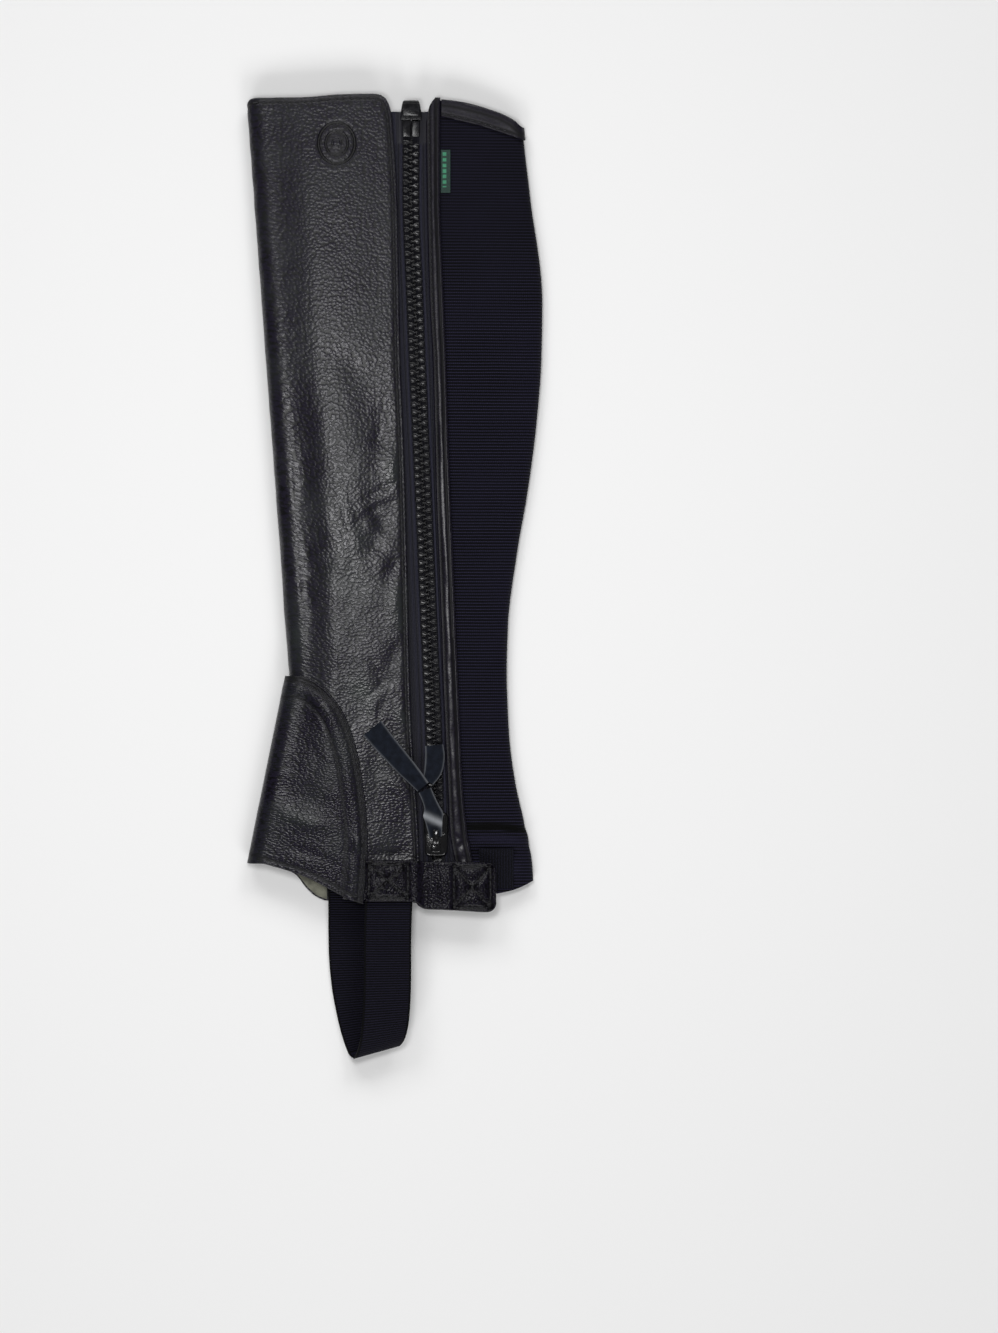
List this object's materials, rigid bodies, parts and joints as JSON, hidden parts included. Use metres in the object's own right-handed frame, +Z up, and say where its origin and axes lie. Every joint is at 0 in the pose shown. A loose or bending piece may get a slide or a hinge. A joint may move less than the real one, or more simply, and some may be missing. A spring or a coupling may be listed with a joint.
{
  "type": "half chap",
  "caption": "Knee-high riding half chap laid flat with its zip closed: leather front, ribbed elastic back, foot stirrup, thong zip pull and touch-tape ankle tab.",
  "frame": {"origin": "on the surface that the chap lies on, under the middle of its bounding box", "axes": "+X from the front edge of the chap to its elastic back, +Y from the ankle to the top, +Z up out of the surface, from the inner side to the outer side with the zip"},
  "size_m": [0.157, 0.5108, 0.0195],
  "materials": {
    "black_leather": "soft black pebble-grained full leather, semi-matt with a grey sheen where it is handled",
    "thong_leather": "blue-grey split leather thong, matt, with paler cut edges",
    "ribbed_elastic": "matt black elastic with fine ribs across",
    "woven_tape": "matt black woven zip tape and touch tape",
    "moulded_plastic": "black moulded zip teeth, box and pin, low gloss",
    "painted_slider": "black lacquered cast zip slider",
    "pale_lining": "worn beige-grey lining, brushed",
    "green_label": "small woven side label, dark green with a plain bright stripe, no text"
  },
  "bodies": {
    "root": {"shaft_panel": "black_leather", "toe_piece": "black_leather", "back_strip": "black_leather", "elastic_binding": "black_leather", "closing_tab": "black_leather", "toe_lining": "pale_lining", "zip_tape_front": "woven_tape", "zip_tape_back": "woven_tape", "tab_hook_tape": "woven_tape", "tab_loop_patch": "woven_tape", "zip_chain": "moulded_plastic", "zip_box": "moulded_plastic", "zip_start_pin": "moulded_plastic", "zip_slider": "painted_slider", "elastic_panel": "ribbed_elastic", "stirrup_strap": "ribbed_elastic", "side_label": "green_label", "thong_tail": "thong_leather", "thong_end": "thong_leather", "thong_loop": "thong_leather"}
  },
  "joints": []
}
